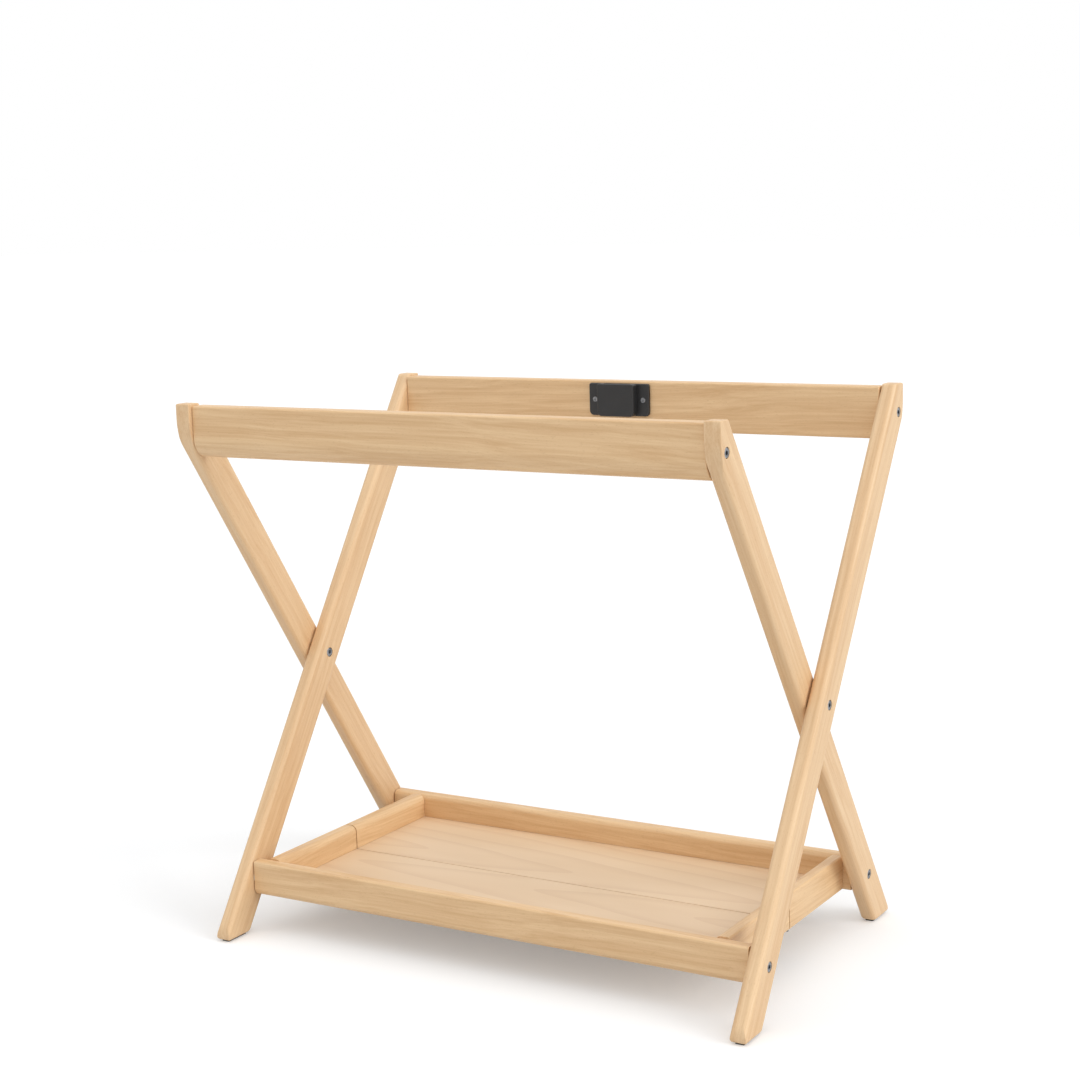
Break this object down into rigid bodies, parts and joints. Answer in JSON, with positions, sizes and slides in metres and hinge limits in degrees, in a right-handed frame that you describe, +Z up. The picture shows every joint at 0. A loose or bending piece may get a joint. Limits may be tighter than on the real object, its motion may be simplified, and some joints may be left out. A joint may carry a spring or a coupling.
{
  "type": "bassinet stand",
  "caption": "Folding wooden floor stand with crossed legs, two top rails that hold a bassinet between them, and a hinged shelf tray below",
  "frame": {"origin": "on the floor, under the middle of the stand, with the stand open", "axes": "+X to the right along the rails, -Y to the front, +Z up"},
  "size_m": [0.79, 0.4918, 0.71],
  "materials": {
    "leg_wood": "pale hardwood, long straight grain, satin clear lacquer",
    "rail_wood": "pale hardwood with fine grain and small darker flecks, satin clear lacquer",
    "panel_wood": "pale plywood with soft broad grain, satin clear lacquer",
    "dowel_wood": "plain dry hardwood",
    "zinc_steel": "zinc-plated steel, satin",
    "nylon": "natural nylon",
    "rubber": "dark matt rubber",
    "black_plastic": "black moulded plastic, fine matt"
  },
  "bodies": {
    "frame_a": {"leg_a_left": "leg_wood", "leg_a_right": "leg_wood", "foot_pad_a_left": "rubber", "foot_pad_a_right": "rubber", "top_rail_front": "rail_wood", "top_bolt_front_left": "zinc_steel", "top_bolt_front_right": "zinc_steel", "top_insert_front_left": "zinc_steel", "top_insert_front_right": "zinc_steel", "rail_dowel_front_left": "dowel_wood", "rail_dowel_front_right": "dowel_wood", "cradle_bracket_front": "black_plastic", "bracket_screw_front_left": "zinc_steel", "bracket_screw_front_right": "zinc_steel", "cross_nut_left": "zinc_steel", "cross_nut_right": "zinc_steel", "cross_washer_left": "nylon", "cross_washer_right": "nylon", "tray_bolt_back_left": "zinc_steel", "tray_bolt_back_right": "zinc_steel", "tray_washer_back_left": "nylon", "tray_washer_back_right": "nylon"},
    "frame_b": {"leg_b_left": "leg_wood", "leg_b_right": "leg_wood", "foot_pad_b_left": "rubber", "foot_pad_b_right": "rubber", "top_rail_back": "rail_wood", "top_bolt_back_left": "zinc_steel", "top_bolt_back_right": "zinc_steel", "top_insert_back_left": "zinc_steel", "top_insert_back_right": "zinc_steel", "rail_dowel_back_left": "dowel_wood", "rail_dowel_back_right": "dowel_wood", "cradle_bracket_back": "black_plastic", "bracket_screw_back_left": "zinc_steel", "bracket_screw_back_right": "zinc_steel", "cross_bolt_left": "zinc_steel", "cross_bolt_right": "zinc_steel", "tray_bolt_front_left": "zinc_steel", "tray_bolt_front_right": "zinc_steel", "tray_washer_front_left": "nylon", "tray_washer_front_right": "nylon"},
    "tray_back": {"tray_rail_back": "rail_wood", "end_rail_back_left": "rail_wood", "end_rail_back_right": "rail_wood", "tray_panel_back": "panel_wood", "tray_insert_back_left": "zinc_steel", "tray_insert_back_right": "zinc_steel", "hinge_leaf_back_left": "zinc_steel", "hinge_leaf_back_right": "zinc_steel", "hinge_pin_left": "zinc_steel", "hinge_pin_right": "zinc_steel"},
    "tray_front": {"tray_rail_front": "rail_wood", "end_rail_front_left": "rail_wood", "end_rail_front_right": "rail_wood", "tray_panel_front": "panel_wood", "tray_insert_front_left": "zinc_steel", "tray_insert_front_right": "zinc_steel", "hinge_leaf_front_left": "zinc_steel", "hinge_leaf_front_right": "zinc_steel"}
  },
  "joints": [
    {"name": "frame_fold", "type": "hinge", "parent": "frame_a", "child": "frame_b", "pos_m": [0, 0, 0.342], "axis": [1, 0, 0], "range_deg": [0, 54.6]},
    {"name": "tray_back_tilt", "type": "hinge", "parent": "frame_a", "child": "tray_back", "pos_m": [0, 0.18008, 0.073], "axis": [1, 0, 0], "range_deg": [-58.34, 0]},
    {"name": "tray_front_tilt", "type": "hinge", "parent": "tray_back", "child": "tray_front", "pos_m": [0, 0, 0.05], "axis": [1, 0, 0], "range_deg": [0, 171.27]}
  ],
  "couplings": [
    {"joint": "tray_back_tilt", "follows": "frame_fold", "ratio": -1.0684},
    {"joint": "tray_front_tilt", "follows": "frame_fold", "ratio": 3.1367}
  ]
}
